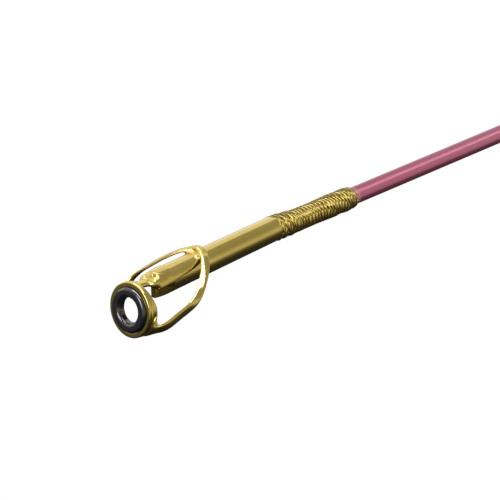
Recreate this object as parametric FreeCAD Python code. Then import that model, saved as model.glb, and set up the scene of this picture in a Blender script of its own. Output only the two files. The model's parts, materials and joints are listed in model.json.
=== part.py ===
import FreeCAD, Part
import math
import os

# Rhythmic gymnastics ribbon stick, in millimetres.
# The stick lies along Y: the tip ring is at -Y and the butt's end face at Y = 0.
# +Z is up, and the tip ring hangs below the stick's axis.
V = FreeCAD.Vector
ORIGIN = V(0, 0, 0)
X_AXIS = V(1, 0, 0)
Y_AXIS = V(0, 1, 0)

# Whole stick
OVERALL_LENGTH = 600.0
TAPER = 0.007                # growth of the diameter, mm per mm towards the butt

# Tip ring: a ceramic insert bonded in a metal frame. Depths start at the frame's front face.
RING_TILT = 8.0              # degrees that the ring's face looks up
RING_DROP = 2.68             # ring's axis below the stick's axis, at the front face
HOLE_RADIUS = 1.64
HOLE_FRONT_ROUNDING = 0.45
HOLE_BACK_ROUNDING = 0.20
INSERT_RADIUS = 2.93
INSERT_PROUD = 0.40          # how far it stands ahead of the frame
INSERT_BACK = 0.78
INSERT_FRONT_ROUNDING = 0.35
INSERT_BACK_ROUNDING = 0.12
BOND_FILM = 0.05
BOND_FRONT = 0.34
BOND_BACK = 0.64
FRAME_RADIUS = 3.6
FRAME_DEPTH = 1.44
FRAME_BACK_ROUNDING = 0.20
FRAME_CUT = (1.40, 1.00)     # depth and rise from which the back is cut away towards the top
FRAME_CUT_LEAN = 16.0        # degrees
LIP_INNER_ROUNDING = 0.08
LIP_OUTER_ROUNDING = 0.16
LIP_DEPTH = 0.42             # front lip, with a groove behind it
LIP_GROOVE = 0.10
GROOVE_HALF_WIDTH = 0.06
GROOVE_FLARE = 0.12
BARREL_WALL = 0.20           # joined pieces may sink this far into the frame's outside

# Tip tube, which dips towards the ring because its bore is wider than the stick
TUBE_RADIUS = 1.8
TUBE_BORE_RADIUS = 1.6
TUBE_FRONT = 6.2             # stations are measured back from the ring's front face
TUBE_REAR = 27.6
TUBE_EDGE_ROUNDING = 0.12
TUBE_DIP = 2.0               # degrees
DIP_STATION = 21.4           # where the tube's axis crosses the stick's

# Nose that closes the tube: a round dome above, and a keel under it that narrows forwards
NOSE_FRONT = 3.42
NOSE_ROUNDING = 0.9
NOSE_UNDERSIDE = 0.0         # height of the dome's lower edge above the tube's axis
NOSE_SPIGOT = 0.9            # length inside the tube
KEEL_FRONT = 3.9
KEEL_HALF_WIDTH = 0.3
KEEL_FLARE = 31.0            # degrees
KEEL_OVERLAP = 0.1           # height by which the keel runs up into the dome

# Flat neck between the ring frame and the nose, its ends as stations and heights
NECK_HALF_WIDTH = 0.76
NECK_HALF_HEIGHT = 0.42
NECK_FRONT = (0.80, 0.42)
NECK_REAR = (3.90, -0.10)

# Strap: a flattened wire loop that braces the ring, in a sloping plane over the tube
STRAP_WIDTH = 1.10
STRAP_THICKNESS = 0.46
STRAP_LEAN = 33.0            # degrees that its faces lean out of the loop's plane
STRAP_ROOT_TWIST = 50.0      # degrees of further lean towards its two roots
STRAP_TWIST_START = 4.5      # up the plane, where that further lean starts to go
STRAP_TWIST_END = 9.0        # up the plane, where it has gone
STRAP_CLEARANCE = 1.98       # distance of its middle from the stick's axis where it crosses
STRAP_PLANE_SLOPE = 29.4     # degrees
STRAP_ROOT = (0.73, -4.76)   # station and height where the loop's plane meets the ring
STRAP_HALF_OUTLINE = [       # distance to the side, distance up the plane
    (2.92, 0.00), (4.36, 1.27), (4.99, 3.29), (5.49, 5.73), (4.56, 8.66), (2.82, 11.49),
]
STRAP_TOP = 13.33            # up the plane, on the centre line
STRAP_SECTIONS = 31

# Brazing
NECK_BEAD = (0.95, 3.45, 0.12)   # to the side, station, height
NECK_BEAD_RADIUS = 0.52
ROOT_BLOB_RADIUS = 0.75
ROOT_BLOB_OFFSET = (-0.05, 0.55, 0.35)   # sideways, back and up from the strap's root
SADDLE_THICKNESS = 0.36
SADDLE_STATION = 11.35
SADDLE_LENGTH = 1.9
SADDLE_HALF_WIDTH = 1.6
SADDLE_UNDERSIDE = 1.0

# Thread wrapping at the tip
STICK_FRONT = 12.0           # the stick's hidden front end inside the tube
STICK_CHAMFER = 0.3
WRAP_END_STICK_RADIUS = 1.33
WRAP_FRONT = 27.1
WRAP_REAR = 45.6
WRAP_PROFILE = [             # station, radius, lift of its middle where it covers the tube
    (27.1, 1.84, 0.20), (27.5, 1.88, 0.20), (28.7, 1.88, 0.17), (32.0, 1.76, 0.02),
    (33.5, 1.71, 0.00), (44.6, 1.80, 0.00), (45.6, 1.63, 0.00),
]
WRAP_COLLAR = 0.9            # length of the lacquer's collar on the bare stick
LACQUER_FILM = 0.03
LACQUER_EDGE = 0.02          # thickness where the collar ends

# Grip
GRIP_LENGTH = 92.0
GRIP_RADIUS = 4.7
GRIP_FILM = 0.12
GRIP_ROUNDING = 1.2
GRIP_GROOVES = 4             # shallow grooves near each end of the sleeve
GROOVE_PITCH = 3.2
GROOVE_RADIUS = 0.55
GROOVE_DEPTH = 0.35
TRIM_LENGTH = 4.5
TRIM_FRONT_RADIUS = 3.55
TRIM_REAR_RADIUS = 4.35
TRIM_CLEARANCE = 0.05
TRIM_BEAD = 0.5
TRIM_BAND_FRONT = 1.4        # the raised band's distance ahead of the sleeve
TRIM_BEVEL = 0.3
GRIP_WRAP_LENGTH = 15.0
GRIP_WRAP_EASE = 0.2
THREAD_THICKNESS = 0.40
END_GROOVE_INSET = 5.0       # first groove's distance from an end of the sleeve
PLUG_HEAD = 4.0
PLUG_STEM = 6.0
PLUG_HEAD_ROUNDING = 1.6
PLUG_STEM_TAPER = 0.02

MARGIN = 0.5                 # how far a cutting shape reaches past what it cuts

# The insert's lower front edge is the foremost point of the whole part.
RING_FRONT_Y = -OVERALL_LENGTH + INSERT_FRONT_ROUNDING + (
    (INSERT_PROUD - INSERT_FRONT_ROUNDING) * math.cos(math.radians(RING_TILT))
    + (INSERT_RADIUS - INSERT_FRONT_ROUNDING) * math.sin(math.radians(RING_TILT)))
STICK_REAR_Y = -(PLUG_HEAD + PLUG_STEM)
GRIP_FRONT_Y = -(PLUG_HEAD + GRIP_LENGTH)
TRIM_FRONT_Y = GRIP_FRONT_Y - TRIM_LENGTH
GRIP_WRAP_FRONT_Y = TRIM_FRONT_Y - GRIP_WRAP_LENGTH


def at(station):
    """Y of a place measured back from the ring's front face."""
    return RING_FRONT_Y + station


def stick_radius(y):
    return WRAP_END_STICK_RADIUS + TAPER / 2 * (y - at(WRAP_REAR))


def outline_wire(steps):
    """Closed wire in the radius-Y plane. A step is a point, or (middle, end) for an arc."""
    edges = []
    here = V(*steps[0], 0)
    for step in steps[1:] + [steps[0]]:
        if isinstance(step[0], tuple):
            middle, end = V(*step[0], 0), V(*step[1], 0)
            edges.append(Part.Arc(here, middle, end).toShape())
        else:
            end = V(*step, 0)
            if here.distanceToPoint(end) < 1e-6:
                continue
            edges.append(Part.LineSegment(here, end).toShape())
        here = end
    return Part.Wire(edges)


def turned(steps):
    """Solid of revolution about the stick's axis."""
    return Part.Face(outline_wire(steps)).revolve(ORIGIN, Y_AXIS, 360)


def on_ring_axis(shape):
    """Moves a shape turned about Y, with the frame's front at Y = 0, onto the ring's axis."""
    placed = shape.copy()
    placed.rotate(ORIGIN, X_AXIS, -RING_TILT)
    placed.translate(V(0, RING_FRONT_Y, -RING_DROP))
    return placed


def on_tube_axis(shape):
    """Turns a shape made about the stick's axis onto the dipping tube's axis."""
    placed = shape.copy()
    placed.rotate(V(0, at(DIP_STATION), 0), X_AXIS, TUBE_DIP)
    return placed


def arc(centre, radius, start, end):
    """Outline step round a centre in the radius-Y plane, between two angles in degrees."""
    places = []
    for degrees in ((start + end) / 2, end):
        angle = math.radians(degrees)
        places.append((centre[0] + radius * math.cos(angle),
                       centre[1] + radius * math.sin(angle)))
    return tuple(places)


def largest_solid(shape):
    return max(shape.Solids, key=lambda solid: solid.Volume)


def ring_insert():
    front, back = -INSERT_PROUD, INSERT_BACK
    ahead, behind = HOLE_FRONT_ROUNDING, HOLE_BACK_ROUNDING
    rim, heel = INSERT_FRONT_ROUNDING, INSERT_BACK_ROUNDING
    return on_ring_axis(turned([
        (HOLE_RADIUS, front + ahead),
        arc((HOLE_RADIUS + ahead, front + ahead), ahead, 180, 270),
        (INSERT_RADIUS - rim, front),
        arc((INSERT_RADIUS - rim, front + rim), rim, 270, 360),
        (INSERT_RADIUS, back - heel),
        arc((INSERT_RADIUS - heel, back - heel), heel, 0, 90),
        (HOLE_RADIUS + behind, back),
        arc((HOLE_RADIUS + behind, back - behind), behind, 90, 180),
    ]))


def ring_bond():
    inner, outer = INSERT_RADIUS, INSERT_RADIUS + BOND_FILM
    return on_ring_axis(turned([
        (inner, BOND_FRONT), (outer, BOND_FRONT), (outer, BOND_BACK), (inner, BOND_BACK)]))


def ring_frame():
    inner = INSERT_RADIUS + BOND_FILM
    inside, outside, corner = LIP_INNER_ROUNDING, LIP_OUTER_ROUNDING, FRAME_BACK_ROUNDING
    floor_front = LIP_DEPTH - GROOVE_HALF_WIDTH + GROOVE_FLARE
    band = turned([
        (inner, inside),
        arc((inner + inside, inside), inside, 180, 270),
        (FRAME_RADIUS - outside, 0),
        arc((FRAME_RADIUS - outside, outside), outside, 270, 360),
        (FRAME_RADIUS, LIP_DEPTH - GROOVE_HALF_WIDTH),
        (FRAME_RADIUS - LIP_GROOVE, floor_front),
        (FRAME_RADIUS, floor_front + GROOVE_FLARE),
        (FRAME_RADIUS, FRAME_DEPTH - corner),
        arc((FRAME_RADIUS - corner, FRAME_DEPTH - corner), corner, 0, 90),
        (inner, FRAME_DEPTH),
    ])
    depth, rise = FRAME_CUT
    size = 4 * FRAME_RADIUS
    behind = Part.makeBox(size, size, size, V(-size / 2, depth, rise - size / 2))
    behind.rotate(V(0, depth, rise), X_AXIS, FRAME_CUT_LEAN)
    return on_ring_axis(band.cut(behind))


def inside_of_ring():
    """The round space that the frame's outer wall encloses."""
    return on_ring_axis(Part.makeCylinder(
        FRAME_RADIUS - BARREL_WALL, FRAME_DEPTH + 2 * MARGIN, V(0, -MARGIN, 0), Y_AXIS))


def tip_tube():
    front, rear = at(TUBE_FRONT), at(TUBE_REAR)
    edge = TUBE_EDGE_ROUNDING
    return on_tube_axis(turned([
        (TUBE_BORE_RADIUS, front),
        (TUBE_RADIUS, front),
        (TUBE_RADIUS, rear - edge),
        arc((TUBE_RADIUS - edge, rear - edge), edge, 0, 90),
        (TUBE_BORE_RADIUS, rear),
    ]))


def tube_nose():
    """Dome and keel as one solid, with a spigot in the tube's bore."""
    front, shoulder, keel = at(NOSE_FRONT), at(TUBE_FRONT), at(KEEL_FRONT)
    corner = (TUBE_RADIUS - NOSE_ROUNDING, front + NOSE_ROUNDING)
    dome = turned([
        (0, front),
        (corner[0], front),
        arc(corner, NOSE_ROUNDING, 270, 360),
        (TUBE_RADIUS, shoulder),
        (0, shoulder),
    ])
    size = 4 * TUBE_RADIUS
    below = Part.makeBox(size, size, size,
                         V(-size / 2, shoulder - size, NOSE_UNDERSIDE - size))
    length = shoulder - keel
    flare = length * math.tan(math.radians(KEEL_FLARE))
    wedge = Part.makePolygon([
        V(side * width, y, -size / 2) for side, width, y in (
            (-1, KEEL_HALF_WIDTH, keel), (1, KEEL_HALF_WIDTH, keel),
            (1, KEEL_HALF_WIDTH + flare, shoulder), (-1, KEEL_HALF_WIDTH + flare, shoulder),
            (-1, KEEL_HALF_WIDTH, keel))])
    round_bar = Part.makeCylinder(TUBE_RADIUS, length, V(0, keel, 0), Y_AXIS)
    lower = Part.Face(wedge).extrude(V(0, 0, size / 2 + NOSE_UNDERSIDE + KEEL_OVERLAP)).common(round_bar)
    spigot = Part.makeCylinder(TUBE_BORE_RADIUS, NOSE_SPIGOT, V(0, shoulder, 0), Y_AXIS)
    return on_tube_axis(dome.cut(below).fuse([lower, spigot]).removeSplitter())


def ring_neck(frame, nose):
    start = V(0, at(NECK_FRONT[0]), NECK_FRONT[1])
    end = V(0, at(NECK_REAR[0]), NECK_REAR[1])
    upright = (end - start).cross(X_AXIS).normalize()
    outline = Part.Ellipse(start + X_AXIS * NECK_HALF_WIDTH, start - upright * NECK_HALF_HEIGHT,
                           start)
    neck = Part.Face(Part.Wire([outline.toShape()])).extrude(end - start)
    return largest_solid(neck.cut(inside_of_ring()).cut(frame).cut(nose))


def strap_centre_line():
    slope = math.radians(STRAP_PLANE_SLOPE)
    mirrored = [(-side, up) for side, up in reversed(STRAP_HALF_OUTLINE)]
    curve = Part.BSplineCurve()
    curve.interpolate([
        V(side, at(STRAP_ROOT[0]) + up * math.cos(slope), STRAP_ROOT[1] + up * math.sin(slope))
        for side, up in STRAP_HALF_OUTLINE + [(0, STRAP_TOP)] + mirrored])
    return curve


def strap_section(curve, parameter):
    """Flattened-wire section, square to the loop and leaning outwards, most at the roots."""
    slope = math.radians(STRAP_PLANE_SLOPE)
    centre = curve.value(parameter)
    up = (centre.y - at(STRAP_ROOT[0])) / math.cos(slope)
    share = (up - STRAP_TWIST_START) / (STRAP_TWIST_END - STRAP_TWIST_START)
    share = min(max(share, 0), 1)
    untwisted = share * share * (3 - 2 * share)
    lean = math.radians(STRAP_LEAN + STRAP_ROOT_TWIST * (1 - untwisted))
    along = curve.tangent(parameter)[0]
    plane_normal = V(0, -math.sin(slope), math.cos(slope))
    outwards = along.cross(plane_normal)
    height = math.hypot(centre.x, centre.z)
    if height < STRAP_CLEARANCE and centre.y > at(TUBE_FRONT):
        lift = STRAP_CLEARANCE / height
        centre = V(centre.x * lift, centre.y, centre.z * lift)
    face = plane_normal * math.cos(lean) + outwards * math.sin(lean)
    across = along.cross(face)
    ellipse = Part.Ellipse(
        centre + across * (STRAP_WIDTH / 2), centre + face * (STRAP_THICKNESS / 2), centre)
    return Part.Wire([ellipse.toShape()])


def strap(frame, tube):
    curve = strap_centre_line()
    first, last = curve.FirstParameter, curve.LastParameter
    sections = [
        strap_section(curve, first + (last - first) * i / (STRAP_SECTIONS - 1))
        for i in range(STRAP_SECTIONS)]
    loop = Part.makeLoft(sections, True, False)
    return loop.cut(inside_of_ring()).cut(frame).cut(tube)


def ball(x, station, z, radius):
    return Part.makeSphere(radius, V(x, at(station), z))


def neck_brazing(frame, nose, neck):
    side, station, height = NECK_BEAD
    beads = [ball(sign * side, station, height, NECK_BEAD_RADIUS) for sign in (1, -1)]
    solids = [bead.cut(nose).cut(neck).cut(frame) for bead in beads]
    return Part.makeCompound([largest_solid(solid) for solid in solids])


def saddle_brazing(tube, loop):
    """Brazing between the tube's top and the strap's crest."""
    pad = Part.makeCylinder(TUBE_RADIUS + SADDLE_THICKNESS, SADDLE_LENGTH,
                            V(0, at(SADDLE_STATION), 0), Y_AXIS)
    upper = Part.makeBox(2 * SADDLE_HALF_WIDTH, 2 * SADDLE_LENGTH, 2 * TUBE_RADIUS,
                         V(-SADDLE_HALF_WIDTH, at(SADDLE_STATION) - MARGIN, SADDLE_UNDERSIDE))
    return on_tube_axis(pad.common(upper)).cut(tube).cut(loop)


def root_brazing(frame, loop):
    side, _ = STRAP_HALF_OUTLINE[0]
    station, height = STRAP_ROOT
    inwards, back, up = ROOT_BLOB_OFFSET
    blobs = [ball(sign * (side + inwards), station + back, height + up, ROOT_BLOB_RADIUS)
             for sign in (1, -1)]
    solids = [blob.cut(inside_of_ring()).cut(frame).cut(loop) for blob in blobs]
    return Part.makeCompound([largest_solid(solid) for solid in solids])


def stick():
    front, rear = at(STICK_FRONT), STICK_REAR_Y
    return turned([
        (0, front), (stick_radius(front) - STICK_CHAMFER, front),
        (stick_radius(front), front + STICK_CHAMFER), (stick_radius(rear), rear), (0, rear)])


def tube_adhesive(core):
    """Fills the tube's bore round the stick."""
    filling = Part.makeCylinder(TUBE_BORE_RADIUS, TUBE_REAR - STICK_FRONT,
                                V(0, at(STICK_FRONT), 0), Y_AXIS)
    return largest_solid(on_tube_axis(filling).cut(core))


def wrapped(extra=0.0):
    """Solid with the tip wrapping's outside shape, or a little more."""
    circles = [
        Part.Wire([Part.Circle(V(0, at(station), lift), Y_AXIS, radius + extra).toShape()])
        for station, radius, lift in WRAP_PROFILE]
    return Part.makeLoft(circles, True, True)


def tip_thread(tube, adhesive, core):
    return largest_solid(wrapped().cut(tube).cut(adhesive).cut(core))


def tip_lacquer(tube, core):
    """Clear film over the thread, with a collar that climbs from the bare stick."""
    rear, end = at(WRAP_REAR), at(WRAP_REAR + WRAP_COLLAR)
    collar = turned([
        (0, rear), (WRAP_PROFILE[-1][1] + LACQUER_FILM, rear),
        (stick_radius(end) + LACQUER_EDGE, end), (0, end)])
    film = wrapped(LACQUER_FILM).fuse(collar).cut(wrapped()).cut(tube).cut(core)
    return largest_solid(film)


def grip_groove_stations():
    first = GRIP_FRONT_Y + END_GROOVE_INSET
    last = -PLUG_HEAD - END_GROOVE_INSET
    ahead = [first + i * GROOVE_PITCH for i in range(GRIP_GROOVES)]
    behind = [last - i * GROOVE_PITCH for i in range(GRIP_GROOVES)]
    return ahead + behind


def grip_sleeve():
    front, rear = GRIP_FRONT_Y, -PLUG_HEAD
    rounding = GRIP_ROUNDING
    bore_front = stick_radius(front) + GRIP_FILM
    bore_rear = stick_radius(rear) + GRIP_FILM
    sleeve = turned([
        (bore_front, front),
        (GRIP_RADIUS - rounding, front),
        arc((GRIP_RADIUS - rounding, front + rounding), rounding, 270, 360),
        (GRIP_RADIUS, rear),
        (bore_rear, rear),
    ])
    for y in grip_groove_stations():
        groove = Part.makeTorus(GRIP_RADIUS + GROOVE_RADIUS - GROOVE_DEPTH, GROOVE_RADIUS,
                                V(0, y, 0), Y_AXIS)
        sleeve = sleeve.cut(groove)
    return sleeve


def grip_adhesive():
    front, rear = GRIP_FRONT_Y, STICK_REAR_Y
    return turned([
        (stick_radius(front), front), (stick_radius(front) + GRIP_FILM, front),
        (stick_radius(rear) + GRIP_FILM, rear), (stick_radius(rear), rear)])


def grip_trim():
    front, rear = TRIM_FRONT_Y, GRIP_FRONT_Y
    bore = stick_radius(rear) + TRIM_CLEARANCE
    return turned([
        (bore, front),
        (TRIM_FRONT_RADIUS - TRIM_BEAD, front),
        arc((TRIM_FRONT_RADIUS - TRIM_BEAD, front + TRIM_BEAD), TRIM_BEAD, 270, 360),
        (TRIM_REAR_RADIUS - TRIM_BEVEL, rear - TRIM_BAND_FRONT),
        (TRIM_REAR_RADIUS, rear - TRIM_BAND_FRONT + TRIM_BEVEL),
        (TRIM_REAR_RADIUS, rear - TRIM_BEVEL),
        (TRIM_REAR_RADIUS - TRIM_BEVEL, rear),
        (bore, rear),
    ])


def grip_thread():
    front, rear = GRIP_WRAP_FRONT_Y, TRIM_FRONT_Y
    return turned([
        (stick_radius(front), front),
        (stick_radius(front) + THREAD_THICKNESS, front + GRIP_WRAP_EASE),
        (stick_radius(rear) + THREAD_THICKNESS, rear),
        (stick_radius(rear), rear),
    ])


def grip_lacquer():
    front, rear = GRIP_WRAP_FRONT_Y, TRIM_FRONT_Y
    collar = front - WRAP_COLLAR
    over = THREAD_THICKNESS + LACQUER_FILM
    return turned([
        (stick_radius(collar), collar),
        (stick_radius(collar) + LACQUER_EDGE, collar),
        (stick_radius(front) + over, front + GRIP_WRAP_EASE - LACQUER_FILM),
        (stick_radius(rear) + over, rear),
        (stick_radius(rear) + THREAD_THICKNESS, rear),
        (stick_radius(front) + THREAD_THICKNESS, front + GRIP_WRAP_EASE),
        (stick_radius(front), front),
    ])


def butt_plug():
    rounding = PLUG_HEAD_ROUNDING
    head_front = -PLUG_HEAD
    stem = stick_radius(head_front) + GRIP_FILM
    return turned([
        (0, STICK_REAR_Y), (stem - PLUG_STEM_TAPER, STICK_REAR_Y), (stem, head_front),
        (GRIP_RADIUS, head_front),
        (GRIP_RADIUS, -rounding),
        arc((GRIP_RADIUS - rounding, -rounding), rounding, 0, 90),
        (0, 0),
    ])


frame_shape = ring_frame()
tube_shape = tip_tube()
nose_shape = tube_nose()
neck_shape = ring_neck(frame_shape, nose_shape)
strap_shape = strap(frame_shape, tube_shape)
stick_shape = stick()
adhesive_shape = tube_adhesive(stick_shape)

parts = {
    "ring_insert": ring_insert(),
    "ring_bond": ring_bond(),
    "ring_frame": frame_shape,
    "ring_neck": neck_shape,
    "tube_nose": nose_shape,
    "brace_strap": strap_shape,
    "neck_brazing": neck_brazing(frame_shape, nose_shape, neck_shape),
    "saddle_brazing": saddle_brazing(tube_shape, strap_shape),
    "root_brazing": root_brazing(frame_shape, strap_shape),
    "tip_tube": tube_shape,
    "tube_adhesive": adhesive_shape,
    "tip_thread": tip_thread(tube_shape, adhesive_shape, stick_shape),
    "tip_lacquer": tip_lacquer(tube_shape, stick_shape),
    "stick": stick_shape,
    "grip_thread": grip_thread(),
    "grip_lacquer": grip_lacquer(),
    "grip_trim": grip_trim(),
    "grip_sleeve": grip_sleeve(),
    "grip_adhesive": grip_adhesive(),
    "butt_plug": butt_plug(),
}

os.makedirs("parts", exist_ok=True)
for name, shape in parts.items():
    if not shape.isValid() or not shape.Solids:
        raise ValueError(name + " is not a valid solid")
    print(name, "solids", len(shape.Solids), "volume", round(shape.Volume, 3))
    shape.exportStep("parts/" + name + ".step")
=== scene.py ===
import json
import math
import random

import bpy
import numpy as np
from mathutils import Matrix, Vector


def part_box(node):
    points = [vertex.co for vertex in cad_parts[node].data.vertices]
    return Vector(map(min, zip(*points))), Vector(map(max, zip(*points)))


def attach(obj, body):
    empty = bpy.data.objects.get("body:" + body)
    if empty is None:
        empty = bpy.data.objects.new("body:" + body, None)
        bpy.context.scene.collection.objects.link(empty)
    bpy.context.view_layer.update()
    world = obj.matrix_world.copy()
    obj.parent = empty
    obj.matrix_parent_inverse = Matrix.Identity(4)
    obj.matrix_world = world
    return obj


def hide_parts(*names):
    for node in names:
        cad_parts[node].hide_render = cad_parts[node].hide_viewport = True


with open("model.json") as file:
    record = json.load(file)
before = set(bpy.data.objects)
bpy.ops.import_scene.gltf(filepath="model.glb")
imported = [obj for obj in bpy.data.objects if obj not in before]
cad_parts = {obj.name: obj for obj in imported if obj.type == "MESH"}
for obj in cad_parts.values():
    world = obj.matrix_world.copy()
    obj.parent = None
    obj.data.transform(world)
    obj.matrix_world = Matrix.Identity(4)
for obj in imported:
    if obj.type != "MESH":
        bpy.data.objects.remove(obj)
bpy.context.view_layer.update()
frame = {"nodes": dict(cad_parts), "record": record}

import openvdb
from mathutils import Matrix, Vector

# Rhythmic gymnastics ribbon stick. Shapes are worked out in millimetres and made in metres.
# A station is a distance back along the stick from the tip ring's front face.
MM = 0.001
TAU = 2 * math.pi
MICRON = 1e-6
SPLINE_FINENESS = 8               # trial points for each even one along a spline


def box_mm(node):
    """Lowest and highest corners of a CAD node, in millimetres."""
    low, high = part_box(node)
    return low / MM, high / MM


# ---------------------------------------------------------------- places taken from the frame
RING_TILT = math.radians(8.0)
RING_DEPTH = 1.44                 # of the frame, front to back
mounts = {mount["name"]: mount for mount in frame["record"]["mounts"]}
ring_middle = Vector(mounts["tip_ring"]["pos_m"]) / MM
HOLE_MIDDLE = 0.315               # depth of the hole's middle behind the frame's front face
RING_FRONT_Y = ring_middle.y - HOLE_MIDDLE * math.cos(RING_TILT)
RING_DROP = -ring_middle.z - HOLE_MIDDLE * math.sin(RING_TILT)
RING_RADIUS = box_mm("ring_frame")[1].x
FRAME_CUT = (1.40, 1.00)          # depth and rise from which the ring's back is cut away
FRAME_CUT_LEAN = math.radians(16.0)

tube_low, tube_high = box_mm("tip_tube")
TUBE_RADIUS = tube_high.x
TUBE_DIP = math.radians(2.0)      # the tube dips towards the ring
DIP_STATION = 21.4                # where its axis crosses the stick's
TUBE_FRONT = tube_low.y - RING_FRONT_Y + TUBE_RADIUS * math.sin(TUBE_DIP)

thread_low, thread_high = box_mm("tip_thread")
WRAP_FRONT = thread_low.y - RING_FRONT_Y
WRAP_REAR = thread_high.y - RING_FRONT_Y
STICK_AT_WRAP = 1.33              # the stick's radius behind the winding


# ---------------------------------------------------------------- mesh helpers
def make_piece(name, points, faces, material, replaced=()):
    """A smooth-shaded piece of the object, from points in millimetres in the row frame."""
    mesh = bpy.data.meshes.new(name)
    mesh.from_pydata((np.asarray(points) * MM).tolist(), [], faces)
    mesh.materials.append(material)
    mesh.polygons.foreach_set("use_smooth", [True] * len(mesh.polygons))
    mesh.update()
    piece = bpy.data.objects.new(name, mesh)
    bpy.context.scene.collection.objects.link(piece)
    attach(piece, "root")
    if replaced:
        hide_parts(*replaced)
    return piece


def skin(rings, closed=False):
    """Points and faces of a tube through rings, an array of ring by corner by xyz."""
    count, corners = rings.shape[:2]
    points = rings.reshape(-1, 3)
    faces = []
    for i in range(count if closed else count - 1):
        here, there = i * corners, (i + 1) % count * corners
        for j in range(corners):
            k = (j + 1) % corners
            faces.append((here + j, here + k, there + k, there + j))
    if not closed:
        faces.append(tuple(reversed(range(corners))))
        faces.append(tuple((count - 1) * corners + j for j in range(corners)))
    return points, faces


def turned(name, profile, material, replaced=(), corners=128):
    """A closed profile of (station, radius) points, turned about the stick's axis."""
    angles = np.arange(corners) / corners * TAU
    profile = np.asarray(profile, float)
    rings = np.stack([
        profile[:, None, 1] * np.cos(angles), profile[:, None, 0] + 0 * angles,
        profile[:, None, 1] * np.sin(angles)], axis=-1)
    points, faces = skin(in_row_frame(rings), closed=True)
    return make_piece(name, points, faces, material, replaced)


def ease(share):
    """0 to 1 with a flat start and end."""
    share = np.clip(share, 0, 1)
    return share * share * (3 - 2 * share)


def in_row_frame(points):
    """(x, station, z) to (x, y, z)."""
    return np.asarray(points) + (0, RING_FRONT_Y, 0)


def spline_through(knots, samples):
    """Evenly spaced points and tangents along a natural cubic spline through the knots."""
    knots = np.asarray(knots, float)
    spans = np.linalg.norm(np.diff(knots, axis=0), axis=1)
    times = np.concatenate([[0], np.cumsum(spans)])
    n = len(knots)
    system, right = np.eye(n), np.zeros((n, knots.shape[1]))
    for i in range(1, n - 1):
        system[i, i - 1:i + 2] = spans[i - 1], 2 * (spans[i - 1] + spans[i]), spans[i]
        slope = np.diff(knots[i - 1:i + 2], axis=0) / spans[i - 1:i + 1, None]
        right[i] = 6 * (slope[1] - slope[0])
    curvature = np.linalg.solve(system, right)

    def value(t):
        i = np.clip(np.searchsorted(times, t) - 1, 0, n - 2)
        h = spans[i][:, None]
        a, b = (times[i + 1] - t)[:, None] / h, (t - times[i])[:, None] / h
        bend = (a ** 3 - a) * curvature[i] + (b ** 3 - b) * curvature[i + 1]
        return a * knots[i] + b * knots[i + 1] + bend * h ** 2 / 6

    dense = np.linspace(0, times[-1], samples * SPLINE_FINENESS)
    steps = np.linalg.norm(np.diff(value(dense), axis=0), axis=1)
    travelled = np.concatenate([[0], np.cumsum(steps)])
    even = np.interp(np.linspace(0, travelled[-1], samples), travelled, dense)
    points = value(even)
    tangents = np.gradient(points, axis=0)
    return points, tangents / np.linalg.norm(tangents, axis=1, keepdims=True)


# ---------------------------------------------------------------- distance fields, for fillets
def blend(a, b, radius):
    """Union of two distance fields with a fillet of about that radius between them."""
    mix = np.clip(0.5 + 0.5 * (b - a) / radius, 0, 1)
    return b + (a - b) * mix - radius * mix * (1 - mix)


def ring_field(p):
    """Distance to the tip ring's puck: outer wall, front face and back face."""
    up, along = p[..., 2] + RING_DROP, p[..., 1]
    depth = along * math.cos(RING_TILT) - up * math.sin(RING_TILT)
    rise = along * math.sin(RING_TILT) + up * math.cos(RING_TILT)
    radius = np.hypot(p[..., 0], rise)
    start, lowest = FRAME_CUT
    cut = (depth - start) * math.cos(FRAME_CUT_LEAN) + (rise - lowest) * math.sin(FRAME_CUT_LEAN)
    back = np.maximum(depth - RING_DEPTH, cut)
    return np.maximum(radius - RING_RADIUS, np.maximum(-depth, back)), radius, depth


def in_tube_frame(p):
    """Radius and station of points, about the dipping tube's own axis."""
    along, up = p[..., 1] - DIP_STATION, p[..., 2]
    station = DIP_STATION + along * math.cos(TUBE_DIP) + up * math.sin(TUBE_DIP)
    height = up * math.cos(TUBE_DIP) - along * math.sin(TUBE_DIP)
    return np.hypot(p[..., 0], height), station, height


def tube_field(p):
    radius, station, _ = in_tube_frame(p)
    return np.maximum(radius - TUBE_RADIUS, TUBE_FRONT - station)


def rod_field(p, start, end, radius):
    start, end = np.asarray(start, float), np.asarray(end, float)
    axis = end - start
    share = np.clip((p - start) @ axis / (axis @ axis), 0, 1)
    return np.linalg.norm(p - start - share[..., None] * axis, axis=-1) - radius


def field_grid(low, high, step):
    """Sample points of a box, as an array of x by station by z by xyz."""
    axes = [np.arange(a, b + step, step) for a, b in zip(low, high)]
    return np.stack(np.meshgrid(*axes, indexing="ij"), axis=-1)


def surface_of(field, low, step):
    """Points and faces where a sampled field is zero."""
    grid = openvdb.FloatGrid(background=1.0)
    grid.copyFromArray(field.astype(np.float32))
    points, quads = grid.convertToQuads(isovalue=0.0)
    return in_row_frame(points * step + np.asarray(low)), quads[:, ::-1].tolist()


# ---------------------------------------------------------------- materials
def new_material(name, **sockets):
    material = bpy.data.materials.new(name)
    material.use_nodes = True
    shader = material.node_tree.nodes["Principled BSDF"]
    for socket, value in sockets.items():
        shader.inputs[socket.replace("_", " ")].default_value = value
    return material, shader


def add_node(material, kind, **settings):
    node = material.node_tree.nodes.new(kind)
    for key, value in settings.items():
        if key in node.inputs:
            node.inputs[key].default_value = value
        else:
            setattr(node, key, value)
    return node


def connect(material, source, target):
    material.node_tree.links.new(source, target)


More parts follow.
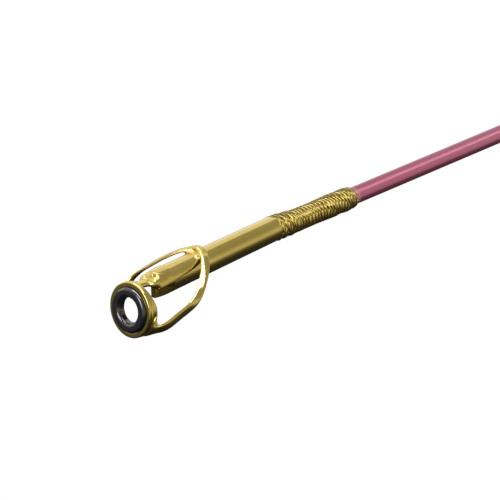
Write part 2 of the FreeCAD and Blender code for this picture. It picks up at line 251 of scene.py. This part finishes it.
def noise(material, per_mm, detail=3.0, stretch=(1, 1, 1)):
    """Noise in the row frame, with so many features per millimetre."""
    place = add_node(material, "ShaderNodeTexCoord")
    mapping = add_node(material, "ShaderNodeMapping")
    mapping.inputs["Scale"].default_value = [per_mm / MM * s for s in stretch]
    texture = add_node(material, "ShaderNodeTexNoise", Scale=1.0, Detail=detail)
    connect(material, place.outputs["Object"], mapping.inputs["Vector"])
    connect(material, mapping.outputs["Vector"], texture.inputs["Vector"])
    return texture.outputs["Fac"]


def ramp(material, source, stops):
    node = add_node(material, "ShaderNodeValToRGB")
    elements = node.color_ramp.elements
    while len(elements) < len(stops):
        elements.new(0.5)
    for element, (position, colour) in zip(elements, stops):
        element.position = position
        element.color = (*colour, 1) if isinstance(colour, tuple) else (colour,) * 3 + (1,)
    connect(material, source, node.inputs["Fac"])
    return node.outputs["Color"]


def add_bump(material, shader, height, depth):
    """Relief of so many metres from a height between 0 and 1."""
    bump = add_node(material, "ShaderNodeBump", Strength=1.0, Distance=depth)
    connect(material, height, bump.inputs["Height"])
    connect(material, bump.outputs["Normal"], shader.inputs["Normal"])


def gold_plate(name, streak=(1, 1, 1), rough=(0.08, 0.16), relief=0.35):
    """Olive-gold plating with a drawn or polished grain."""
    material, shader = new_material(name, Metallic=1.0, IOR=1.5)
    tint = ramp(material, noise(material, 0.35, 4), [
        (0.30, (0.66, 0.485, 0.11)), (0.70, (0.73, 0.55, 0.14))])
    connect(material, tint, shader.inputs["Base Color"])
    grain = noise(material, 6.0, 4, streak)
    connect(material, ramp(material, grain, [(0.30, rough[0]), (0.75, rough[1])]),
            shader.inputs["Roughness"])
    add_bump(material, shader, grain, relief * MICRON)
    return material


def black_ceramic():
    material, shader = new_material("black_ceramic", IOR=1.95)
    shader.inputs["Specular Tint"].default_value = (1.0, 0.93, 0.66, 1)
    connect(material, ramp(material, noise(material, 2.0, 5), [
        (0.3, (0.004, 0.004, 0.006)), (0.8, (0.010, 0.010, 0.014))]), shader.inputs["Base Color"])
    cloud = noise(material, 9.0, 3)
    connect(material, ramp(material, cloud, [(0.3, 0.06), (0.8, 0.12)]),
            shader.inputs["Roughness"])
    add_bump(material, shader, cloud, 0.3 * MICRON)
    return material


def pink_paint():
    """Pearl paint: flakes in a strong pink under a satin clear coat."""
    material, shader = new_material(
        "pink_paint", Metallic=0.55, IOR=1.5, Coat_Weight=0.9, Coat_IOR=1.75, Coat_Roughness=0.28)
    flakes = noise(material, 14.0, 2)
    connect(material, ramp(material, flakes, [
        (0.30, (0.46, 0.060, 0.130)), (0.70, (0.62, 0.100, 0.195))]), shader.inputs["Base Color"])
    connect(material, ramp(material, noise(material, 2.5, 3, (1, 0.25, 1)), [
        (0.3, 0.42), (0.8, 0.52)]), shader.inputs["Roughness"])
    add_bump(material, shader, noise(material, 1.2, 3, (1, 0.3, 1)), 1.5 * MICRON)
    return material


def gold_thread():
    material, shader = new_material("gold_thread", Metallic=0.9, IOR=1.5, Coat_Weight=0.35,
                                    Coat_Roughness=0.12)
    connect(material, ramp(material, noise(material, 3.0, 5), [
        (0.28, (0.34, 0.23, 0.030)), (0.72, (0.69, 0.53, 0.12))]), shader.inputs["Base Color"])
    fibre = noise(material, 11.0, 4, (1, 3, 1))
    connect(material, ramp(material, fibre, [(0.3, 0.18), (0.8, 0.36)]),
            shader.inputs["Roughness"])
    add_bump(material, shader, fibre, 6 * MICRON)
    return material


def clear_lacquer():
    material, shader = new_material("clear_lacquer", Roughness=0.06, IOR=1.5, Alpha=0.22)
    # The pale cream colour is a painted highlight: it stands in for the light caught by the
    # lacquer's bead over the last turn.
    connect(material, ramp(material, noise(material, 1.5, 3), [
        (0.3, (0.80, 0.62, 0.34)), (0.8, (0.94, 0.80, 0.56))]), shader.inputs["Base Color"])
    add_bump(material, shader, noise(material, 0.9, 2), 12 * MICRON)
    return material


def rubber(name, dark, light, dots_per_mm):
    material, shader = new_material(name, IOR=1.45, Sheen_Weight=0.15, Sheen_Roughness=0.5)
    connect(material, ramp(material, noise(material, 0.5, 4), [(0.3, dark), (0.75, light)]),
            shader.inputs["Base Color"])
    grain = noise(material, dots_per_mm, 2)
    connect(material, ramp(material, grain, [(0.3, 0.50), (0.8, 0.68)]), shader.inputs["Roughness"])
    add_bump(material, shader, grain, 18 * MICRON)
    return material


GOLD = gold_plate("gold_plate_polished")
DRAWN_GOLD = gold_plate("gold_plate_drawn", streak=(1.6, 0.03, 1.6), rough=(0.13, 0.22))
BRAZED_GOLD = gold_plate("gold_plate_brazed", rough=(0.24, 0.34), relief=0.05)
NOSE_GOLD = gold_plate("gold_plate_nose", rough=(0.17, 0.26), relief=0.05)
CERAMIC = black_ceramic()
PINK = pink_paint()
THREAD = gold_thread()
LACQUER = clear_lacquer()
SLEEVE_RUBBER = rubber("pink_rubber", (0.38, 0.075, 0.14), (0.46, 0.10, 0.18), 5.0)
PLUG_RUBBER = rubber("plug_rubber", (0.020, 0.019, 0.021), (0.036, 0.034, 0.037), 6.0)


# ---------------------------------------------------------------- CAD nodes that stay
KEPT = {
    "ring_insert": CERAMIC, "ring_bond": LACQUER, "ring_frame": GOLD, "tip_tube": DRAWN_GOLD,
    "tube_adhesive": LACQUER, "stick": PINK, "grip_trim": GOLD, "grip_sleeve": SLEEVE_RUBBER,
    "grip_adhesive": LACQUER, "butt_plug": PLUG_RUBBER,
}


def repaint_kept_nodes():
    for node, material in KEPT.items():
        for slot in frame["nodes"][node].material_slots:
            slot.material = material


# ---------------------------------------------------------------- brace strap
STRAP_WIDTH = 1.10
STRAP_THICKNESS = 0.46
STRAP_LEAN = math.radians(33.0)   # its faces lean out of the loop's plane
STRAP_ROOT_TWIST = math.radians(50.0)  # further lean towards its two roots
STRAP_TWIST_START = 4.5           # up the plane, where that further lean starts to go
STRAP_TWIST_END = 9.0             # up the plane, where it has gone
STRAP_CLEARANCE = 1.98            # from the stick's axis to its middle, where it crosses
STRAP_SLOPE = math.radians(29.4)
STRAP_ROOT = (0.73, -4.76)        # station and height where the loop's plane meets the ring
STRAP_HALF_OUTLINE = [            # distance to the side, distance up the plane
    (2.92, 0.00), (4.36, 1.27), (4.99, 3.29), (5.49, 5.73), (4.56, 8.66), (2.82, 11.49),
]
STRAP_TOP = 13.33
STRAP_SAMPLES = 280
STRAP_CORNERS = 40
SQUARENESS = 2.8                  # 2 is an ellipse; more is squarer
STRAP_END_DEPTH = 0.35            # how far its ends run inside the ring's outer wall
BATCH = 20000                     # points compared with the strap at once
TINY = 1e-6
DEEP_INSIDE = -0.1                # distance given to a point on the strap's centre line


def strap_frames():
    """Centre, direction across the width and direction of the face, along the strap."""
    half = STRAP_HALF_OUTLINE
    outline = half + [(0, STRAP_TOP)] + [(-side, up) for side, up in reversed(half)]
    knots = [(side, STRAP_ROOT[0] + up * math.cos(STRAP_SLOPE),
              STRAP_ROOT[1] + up * math.sin(STRAP_SLOPE)) for side, up in outline]
    centre, along = spline_through(knots, STRAP_SAMPLES)
    normal = np.array([0, -math.sin(STRAP_SLOPE), math.cos(STRAP_SLOPE)])
    outwards = np.cross(along, normal)
    up = (centre[:, 1] - STRAP_ROOT[0]) / math.cos(STRAP_SLOPE)
    share = (up - STRAP_TWIST_START) / (STRAP_TWIST_END - STRAP_TWIST_START)
    lean = STRAP_LEAN + STRAP_ROOT_TWIST * (1 - ease(share))[:, None]
    face = normal * np.cos(lean) + outwards * np.sin(lean)
    across = np.cross(along, face)
    height = np.hypot(centre[:, 0], centre[:, 2])
    lift = np.where((height < STRAP_CLEARANCE) & (centre[:, 1] > TUBE_FRONT),
                    STRAP_CLEARANCE / height, 1.0)
    centre[:, [0, 2]] *= lift[:, None]
    return centre, across, face


def strap_field(p, frames):
    """Roughly the distance to the strap, from its nearest section."""
    centre, across, face = frames
    flat = p.reshape(-1, 3)
    nearest = np.empty(len(flat), int)
    for start in range(0, len(flat), BATCH):
        part = flat[start:start + BATCH]
        gap = ((part[:, None] - centre[None]) ** 2).sum(-1)
        nearest[start:start + BATCH] = gap.argmin(1)
    offset = flat - centre[nearest]
    u = np.abs((offset * across[nearest]).sum(1)) / (STRAP_WIDTH / 2)
    v = np.abs((offset * face[nearest]).sum(1)) / (STRAP_THICKNESS / 2)
    reach = (u ** SQUARENESS + v ** SQUARENESS) ** (1 / SQUARENESS)
    length = np.linalg.norm(offset, axis=1)
    outside = length * (1 - 1 / np.maximum(reach, TINY))
    return np.where(reach > TINY, outside, DEEP_INSIDE).reshape(p.shape[:-1])


def brace_strap(frames):
    """The flattened-wire loop, from one root inside the ring's wall to the other."""
    centre, across, face = frames
    angles = np.arange(STRAP_CORNERS) / STRAP_CORNERS * TAU
    cos, sin = np.cos(angles), np.sin(angles)
    wide = np.sign(cos) * np.abs(cos) ** (2 / SQUARENESS) * STRAP_WIDTH / 2
    thick = np.sign(sin) * np.abs(sin) ** (2 / SQUARENESS) * STRAP_THICKNESS / 2
    rings = (centre[:, None] + across[:, None] * wide[None, :, None]
             + face[:, None] * thick[None, :, None])
    _, radius, depth = ring_field(centre)
    free = np.nonzero((radius > RING_RADIUS - STRAP_END_DEPTH) | (depth > RING_DEPTH))[0]
    rings = rings[free[0]:free[-1] + 1]
    points, faces = skin(in_row_frame(rings))
    return make_piece("brace_strap_loop", points, faces, GOLD, ["brace_strap"])


# ---------------------------------------------------------------- fillets and the nose joint
HIDDEN = 0.006                    # a fillet's toe dives this far under the part that it meets
INSIDE = 0.06                     # and its hidden inner face lies this deep
LIP_DEPTH = 0.62                  # fillets stay behind the ring's rolled front lip
FIELD_STEP = 0.05

ROOT_STEP = 0.045
ROOT_BOX = 1.5                    # half the size of the box that each root's fillet is made in
ROOT_SAMPLES = 90                 # strap samples near each root
ROOT_FILLET = 0.75
ROOT_SPREAD = 0.6                 # how far it spreads from the strap
ROOT_REACH = 1.35                 # and how far from the root

SADDLE_BOX = ((2.4, 2.2, 1.8), (2.4, 1.6, 0.7))   # below and above the strap's crest
SADDLE_TRIM = 80                  # strap samples left out at each end
SADDLE_FILLET = 0.95
SADDLE_REACH = (2.2, 1.9, 1.9)


def root_fillets(frames):
    """Brazing fillets where the strap's two ends meet the ring."""
    centre = frames[0]
    _, radius, _ = ring_field(centre)
    first = int(np.nonzero(radius > RING_RADIUS)[0][0])
    points, faces = [], []
    for sign in (1, -1):
        root = centre[first] * (sign, 1, 1)
        low, high = root - ROOT_BOX, root + ROOT_BOX
        p = field_grid(low, high, ROOT_STEP)
        ring, _, depth = ring_field(p)
        end = slice(ROOT_SAMPLES) if sign > 0 else slice(-ROOT_SAMPLES, None)
        loop = strap_field(p, [part[end] for part in frames])
        body = blend(ring, loop, ROOT_FILLET) + HIDDEN
        body = np.maximum(body, -(np.minimum(ring, loop) + INSIDE))
        body = np.maximum(body, np.maximum(loop - ROOT_SPREAD, LIP_DEPTH - depth))
        body = np.maximum(body, np.linalg.norm(p - root, axis=-1) - ROOT_REACH)
        found, quads = surface_of(body, low, ROOT_STEP)
        start = sum(len(block) for block in points)
        points.append(found)
        faces += [[start + i for i in quad] for quad in quads]
    return make_piece("root_fillets", np.concatenate(points), faces, BRAZED_GOLD,
                      ["root_brazing"])


def saddle_fillet(frames):
    """Brazing fillet where the strap's crest crosses the tube."""
    centre = frames[0]
    crest = centre[len(centre) // 2]
    low, high = crest - SADDLE_BOX[0], crest + SADDLE_BOX[1]
    p = field_grid(low, high, FIELD_STEP)
    tube = tube_field(p)
    loop = strap_field(p, [part[SADDLE_TRIM:-SADDLE_TRIM] for part in frames])
    body = blend(tube, loop, SADDLE_FILLET) + HIDDEN
    body = np.maximum(body, -(np.minimum(tube, loop) + INSIDE))
    reach = np.linalg.norm((p - crest) / SADDLE_REACH, axis=-1) - 1
    body = np.maximum(body, reach)
    points, faces = surface_of(body, low, FIELD_STEP)
    return make_piece("saddle_fillet", points, faces, BRAZED_GOLD,
                      ["saddle_brazing"])


NECK_FRONT, NECK_REAR = (0, 0.80, 0.42), (0, 3.90, -0.10)
NECK_HALF_WIDTH = 0.76
NECK_HALF_HEIGHT = 0.42
NECK_FILLET = 0.3
NECK_BEAD = (0.95, 3.45, 0.12)    # to the side, station, height
NECK_BEAD_RADIUS = 0.52
BEAD_FILLET = 0.45

NOSE_FRONT = 3.42
NOSE_ROUNDING = 0.9
NOSE_UNDERSIDE = 0.0              # height of the dome's lower edge above the tube's axis
NOSE_EDGE = 0.25                  # rounding of that edge
KEEL_FRONT = 3.9
KEEL_HALF_WIDTH = 0.3             # at its front
KEEL_FLARE = math.radians(31.0)
KEEL_EDGE = 0.2
KEEL_NOSE = 0.3                   # rounding of its front edge
KEEL_FILLET = 0.45

JOINT_BOX = ((-2.6, 0.2, -3.2), (2.6, 6.7, 2.1))
RING_FILLET = 0.25
RING_SPREAD = 0.3                 # how far that fillet spreads over the ring
TUBE_OVERLAP = 0.12               # depth of the joint's hidden face under the tube's wall
JOINT_END = 0.1                   # how far the joint runs back past the tube's front


def nose_field(p):
    """Rounded dome of the tube's nose, over a keel that narrows forwards."""
    radius, along, height = in_tube_frame(p)
    out = np.maximum(radius - (TUBE_RADIUS - NOSE_ROUNDING), 0)
    ahead = np.maximum(NOSE_FRONT + NOSE_ROUNDING - along, 0)
    dome = np.hypot(out, ahead) - NOSE_ROUNDING
    dome = -blend(-dome, height - NOSE_UNDERSIDE, NOSE_EDGE)
    side = ((np.abs(p[..., 0]) - KEEL_HALF_WIDTH) * math.cos(KEEL_FLARE)
            - (along - KEEL_FRONT) * math.sin(KEEL_FLARE))
    keel = -blend(-side, TUBE_RADIUS - radius, KEEL_EDGE)
    keel = -blend(-keel, along - KEEL_FRONT, KEEL_NOSE)
    return blend(dome, keel, KEEL_FILLET)


def nose_joint():
    """Neck, nose and brazing beads as one smooth joint between the ring and the tube."""
    low, high = JOINT_BOX
    p = field_grid(low, high, FIELD_STEP)
    ring, _, depth = ring_field(p)
    flat = p * (NECK_HALF_HEIGHT / NECK_HALF_WIDTH, 1, 1)
    neck = rod_field(flat, NECK_FRONT, NECK_REAR, NECK_HALF_HEIGHT)
    joint = blend(neck, nose_field(p), NECK_FILLET)
    for sign in (1, -1):
        bead = np.linalg.norm(p - np.array(NECK_BEAD) * (sign, 1, 1), axis=-1) - NECK_BEAD_RADIUS
        joint = blend(joint, bead, BEAD_FILLET)
    body = blend(joint, ring, RING_FILLET) + HIDDEN
    inside = np.minimum(ring, tube_field(p) + TUBE_OVERLAP)
    body = np.maximum(body, -(inside + INSIDE))
    body = np.maximum(body, np.maximum(joint - RING_SPREAD, LIP_DEPTH - depth))
    body = np.maximum(body, p[..., 1] - TUBE_FRONT - JOINT_END)
    points, faces = surface_of(body, low, FIELD_STEP)
    return make_piece("nose_joint", points, faces, NOSE_GOLD,
                      ["ring_neck", "tube_nose", "neck_brazing"])


# ---------------------------------------------------------------- thread windings
THREAD_PITCH = 0.70
PLY_RADIUS = 0.175
PLY_TWIST = 3.1                   # millimetres of thread for one turn of its two plies
PLIES = 2
PLY_CORNERS = 8
PLY_SQUASH = 0.45                 # the plies swing this much less outwards than sideways
TURN_SAMPLES = 90
FIRST_TURN = 0.2                  # how far in the first turn starts
END_ROOM = 0.3                    # length that the turns leave free, and the core at each end
THREAD_DEPTH = 1.45               # ply radii from the winding's outside to the thread's centre
CORE_DEPTH = 2.2                  # and to the core
CORE_STATIONS = 40
CORE_CORNERS = 64
SLIDE = (0.08, (20, 70))          # wandering along the stick: reach, and waves along the thread
HEAVE = (0.02, (30, 90))          # and outwards
WAVES = 10
WAVE_HEIGHTS = (0.4, 1)
WAVE_SUM = 3                      # roughly how large their sum gets
TIP_SEED, GRIP_SEED = 5, 11
BURIED = 0.02                     # depth of a hidden edge under the stick's surface
CORE_IN_TUBE = 0.3                # and under the tube's
GRIP_THREAD_DEPTH = 0.6           # depth of the winding ahead of the handle
GRIP_WINDING_TAPER = 0.10         # how much smaller its radius is at its front
WRAP_PROFILE = [                  # station, radius, lift of its middle where it covers the tube
    (WRAP_FRONT, 1.84, 0.20), (27.5, 1.88, 0.20), (28.7, 1.88, 0.17), (32.0, 1.76, 0.02),
    (33.5, 1.71, 0.00), (44.6, 1.80, 0.00), (WRAP_REAR, 1.63, 0.00),
]


def wrap_outside(profile, station):
    """Radius and lift of a wrapping at some stations."""
    places, radii, lifts = zip(*profile)
    return np.interp(station, places, radii), np.interp(station, places, lifts)


def wandering(count, reach, waves, seed):
    """Smooth random offsets along a thread, from a sum of slow waves."""
    source = random.Random(seed)
    t = np.arange(count) / count
    total = np.zeros(count)
    for _ in range(WAVES):
        total += source.uniform(*WAVE_HEIGHTS) * np.sin(
            TAU * (source.uniform(waves[0], waves[1]) * t + source.random()))
    return reach * total / WAVE_SUM


def plies_along(centre, outwards, travelled):
    """Twisted plies around a thread's centre line."""
    along = np.gradient(centre, axis=0)
    along /= np.linalg.norm(along, axis=1, keepdims=True)
    side = np.cross(along, outwards)
    corner = np.arange(PLY_CORNERS) / PLY_CORNERS * TAU
    points, faces = [], []
    for ply in range(PLIES):
        turn = TAU * (travelled / PLY_TWIST + ply / PLIES)
        middle = centre + (outwards * np.sin(turn)[:, None] * PLY_SQUASH
                           + side * np.cos(turn)[:, None]) * PLY_RADIUS
        ring = (outwards[:, None] * np.cos(corner)[None, :, None]
                + side[:, None] * np.sin(corner)[None, :, None]) * PLY_RADIUS
        more, quads = skin(middle[:, None] + ring)
        start = sum(len(block) for block in points)
        points.append(more)
        faces += [tuple(start + i for i in quad) for quad in quads]
    return np.concatenate(points), faces


def wound_core(profile, inner):
    """The lower layer of thread, a sleeve just under the turns."""
    front, rear = profile[0][0] + END_ROOM, profile[-1][0] - END_ROOM
    stations = np.linspace(front, rear, CORE_STATIONS)
    outer, lift = wrap_outside(profile, stations)
    outer = np.concatenate([outer - CORE_DEPTH * PLY_RADIUS, inner])
    lift = np.concatenate([lift, [profile[-1][2], profile[0][2]]])
    stations = np.concatenate([stations, [rear, front]])
    angles = np.arange(CORE_CORNERS) / CORE_CORNERS * TAU
    rings = np.stack([outer[:, None] * np.cos(angles), stations[:, None] + 0 * angles,
                      outer[:, None] * np.sin(angles) + lift[:, None]], axis=-1)
    return skin(rings, closed=True)


def winding(name, profile, inner, seed, *replaced):
    """Twisted thread wound turn by turn over its core, from the first station to the last."""
    front, rear = profile[0][0], profile[-1][0]
    turns = (rear - front - END_ROOM) / THREAD_PITCH
    count = int(turns * TURN_SAMPLES)
    angle = np.linspace(0, turns * TAU, count)
    station = front + FIRST_TURN + THREAD_PITCH * angle / TAU + wandering(count, *SLIDE, seed)
    outside, lift = wrap_outside(profile, station)
    radius = outside - THREAD_DEPTH * PLY_RADIUS + wandering(count, *HEAVE, seed + 1)
    outwards = np.stack([np.cos(angle), np.zeros(count), np.sin(angle)], axis=-1)
    centre = outwards * radius[:, None]
    centre[:, 1] = station
    centre[:, 2] += lift
    steps = np.linalg.norm(np.diff(centre, axis=0), axis=1)
    travelled = np.concatenate([[0], np.cumsum(steps)])
    points, faces = plies_along(centre, outwards, travelled)
    core, core_faces = wound_core(profile, inner)
    faces += [tuple(len(points) + i for i in quad) for quad in core_faces]
    points = np.concatenate([points, core])
    return make_piece(name, in_row_frame(points), faces, THREAD, replaced)


def tip_winding():
    inner = [STICK_AT_WRAP - BURIED, TUBE_RADIUS - CORE_IN_TUBE]
    return winding("tip_winding", WRAP_PROFILE, inner, TIP_SEED, "tip_thread")


def grip_winding():
    """Its clear coat is left to the thread's own gloss, which stands for that node too."""
    low, high = box_mm("grip_thread")
    profile = [(low.y - RING_FRONT_Y, high.x - GRIP_WINDING_TAPER, 0.0),
               (high.y - RING_FRONT_Y, high.x, 0.0)]
    inner = high.x - GRIP_THREAD_DEPTH
    return winding("grip_winding", profile, [inner, inner], GRIP_SEED, "grip_thread",
                   "grip_lacquer")


def lacquer_collar():
    """Lacquer that climbs from the bare stick onto the last turn of thread; its pale cream colour
    is a painted highlight.
    """
    stick = STICK_AT_WRAP
    profile = [(WRAP_REAR + 0.95, stick - BURIED), (WRAP_REAR + 0.95, stick + 0.004),
               (WRAP_REAR + 0.55, stick + 0.03), (WRAP_REAR + 0.25, stick + 0.10),
               (WRAP_REAR + 0.05, stick + 0.24), (WRAP_REAR - 0.10, stick + 0.34),
               (WRAP_REAR - 0.25, stick + 0.20), (WRAP_REAR - 0.25, stick - BURIED)]
    return turned("tip_lacquer_collar", profile, LACQUER, ["tip_lacquer"])


# ---------------------------------------------------------------- the studio
def softbox(name, place, facing, size, strength, colour=(1, 1, 1)):
    """A soft light, seen in reflections but not by the camera. Its second side runs along Y."""
    data = bpy.data.lights.new(name, "AREA")
    data.shape = "RECTANGLE"
    data.size, data.size_y = size
    data.energy = strength * math.pi * size[0] * size[1]
    data.color = colour
    light = bpy.data.objects.new(name, data)
    bpy.context.scene.collection.objects.link(light)
    back = -Vector(facing).normalized()
    lengthwise = Vector((0, 1, 0))
    lengthwise = (lengthwise - back * lengthwise.dot(back)).normalized()
    turn = Matrix((lengthwise.cross(back), lengthwise, back)).transposed().to_4x4()
    light.matrix_world = Matrix.Translation(place) @ turn
    light.visible_camera = False
    return light


# Brightness of the light tent by elevation, in degrees: a dark floor and pale walls.
TENT = [(-90, 0.015), (-45, 0.03), (-19, 0.07), (-11, 0.19), (-4, 0.52), (1, 0.64), (9, 0.66),
        (16, 0.57), (23, 0.45), (30, 0.38), (90, 0.38)]


def limit(light, pieces, state):
    """Lights only these pieces, or everything but them."""
    group = bpy.data.collections.new(light.name + "_link")
    for piece in pieces:
        group.objects.link(piece)
    light.light_linking.receiver_collection = group
    for entry in group.collection_objects:
        entry.light_linking.link_state = state


def light_tent():
    """White to the camera, and in reflections shaded by height."""
    world = bpy.data.worlds.new("studio")
    bpy.context.scene.world = world
    world.use_nodes = True
    nodes, links = world.node_tree.nodes, world.node_tree.links
    nodes.clear()
    place = nodes.new("ShaderNodeTexCoord")
    split = nodes.new("ShaderNodeSeparateXYZ")
    rise = nodes.new("ShaderNodeMapRange")
    shade = nodes.new("ShaderNodeValToRGB")
    tent = nodes.new("ShaderNodeBackground")
    backdrop = nodes.new("ShaderNodeBackground")
    path = nodes.new("ShaderNodeLightPath")
    mix = nodes.new("ShaderNodeMixShader")
    output = nodes.new("ShaderNodeOutputWorld")
    rise.inputs["From Min"].default_value = -1.0
    elements = shade.color_ramp.elements
    while len(elements) < len(TENT):
        elements.new(0.5)
    for element, (elevation, level) in zip(elements, TENT):
        element.position = 0.5 + 0.5 * math.sin(math.radians(elevation))
        element.color = (level, level, level, 1)
    backdrop.inputs["Color"].default_value = (1, 1, 1, 1)
    links.new(place.outputs["Generated"], split.inputs[0])
    links.new(split.outputs["Z"], rise.inputs["Value"])
    links.new(rise.outputs["Result"], shade.inputs["Fac"])
    links.new(shade.outputs["Color"], tent.inputs["Color"])
    links.new(path.outputs["Is Camera Ray"], mix.inputs["Fac"])
    links.new(tent.outputs[0], mix.inputs[1])
    links.new(backdrop.outputs[0], mix.inputs[2])
    links.new(mix.outputs[0], output.inputs["Surface"])


def studio(painted, brazed):
    """Softboxes; the stick, the tip's winding with its collar, and the nose and saddle brazing have
    their own.
    """
    tip = Vector((0, RING_FRONT_Y * MM, 0))
    paint_light = softbox("paint_light", tip + Vector((0.25, 0.30, 0.54)), (-0.42, 0, -0.91),
                          (0.26, 2.2), 1.7)
    above, above_size = tip + Vector((-0.045, 0.105, 0.60)), (0.63, 0.33)
    overhead = softbox("overhead_box", above, (0, 0, -1), above_size, 6.0, (0.97, 1.06, 1.9))
    softbox("front_box", tip + Vector((0.02, -0.60, 0.28)), (0, 1, -0.45), (0.36, 0.42), 5.0,
            (0.97, 1.06, 1.8))
    panel = softbox("left_panel", tip + Vector((-0.45, 0.45, 0.30)), (1, 0, -1), (0.85, 2.0), 0.62,
            (0.95, 1.0, 1.35))
    thread_light = softbox("thread_light", tip + Vector((0.41, 0.30, 0.44)), (-0.68, 0, -0.73),
                           (0.26, 2.2), 2.2)
    brazing_light = softbox("brazing_light", above, (0, 0, -1), above_size, 2.0,
                            (0.97, 1.06, 1.7))
    limit(paint_light, painted[:1], "INCLUDE")
    limit(thread_light, painted[1:], "INCLUDE")
    limit(brazing_light, brazed[:2], "INCLUDE")
    limit(overhead, painted + brazed, "EXCLUDE")
    limit(panel, painted, "EXCLUDE")


def floor():
    size, drop = 6.0, 0.10
    mesh = bpy.data.meshes.new("floor")
    corners = [(-size, -size), (size, -size), (size, size), (-size, size)]
    mesh.from_pydata([(x, y, -drop) for x, y in corners], [], [(0, 1, 2, 3)])
    material, shader = new_material("floor_paper", Roughness=0.9, Emission_Strength=0.93)
    shader.inputs["Base Color"].default_value = (0.05, 0.05, 0.05, 1)
    shader.inputs["Emission Color"].default_value = (1, 1, 1, 1)
    mesh.materials.append(material)
    plane = bpy.data.objects.new("floor", mesh)
    bpy.context.scene.collection.objects.link(plane)
    plane.visible_glossy = False
    plane.visible_diffuse = False


# ---------------------------------------------------------------- camera
CAMERA_AZIMUTH = math.radians(40.68)
CAMERA_ELEVATION = math.radians(23.24)
CAMERA_ROLL = math.radians(1.29)
CAMERA_DISTANCE = 144.3           # from the ring's front plane, along the optical axis
CAMERA_ASIDE = (14.92, 5.03)      # the optical axis passes this far right of and above the tip
LENS = 84.24


def camera():
    data = bpy.data.cameras.new("camera")
    data.lens, data.sensor_width = LENS, 36.0
    data.clip_start, data.clip_end = 0.005, 20.0
    eye = bpy.data.objects.new("camera", data)
    bpy.context.scene.collection.objects.link(eye)
    a, e = CAMERA_AZIMUTH, CAMERA_ELEVATION
    back = Vector((math.sin(a) * math.cos(e), -math.cos(a) * math.cos(e), math.sin(e)))
    level = Vector((0, 0, 1)).cross(back).normalized()
    upright = back.cross(level)
    right = level * math.cos(CAMERA_ROLL) + upright * math.sin(CAMERA_ROLL)
    up = upright * math.cos(CAMERA_ROLL) - level * math.sin(CAMERA_ROLL)
    tip = Vector((0, RING_FRONT_Y, 0))
    place = tip + right * CAMERA_ASIDE[0] + up * CAMERA_ASIDE[1] + back * CAMERA_DISTANCE
    turn = Matrix((right, up, back)).transposed().to_4x4()
    eye.matrix_world = Matrix.Translation(place * MM) @ turn
    bpy.context.scene.camera = eye


# ---------------------------------------------------------------- everything
repaint_kept_nodes()
strap = strap_frames()
brace_strap(strap)
roots = root_fillets(strap)
saddle = saddle_fillet(strap)
nose = nose_joint()
tip_turns = tip_winding()
grip_winding()
collar = lacquer_collar()
light_tent()
studio([frame["nodes"]["stick"], tip_turns, collar], [nose, saddle, roots])
floor()
camera()
bpy.context.scene.view_settings.view_transform = "Standard"
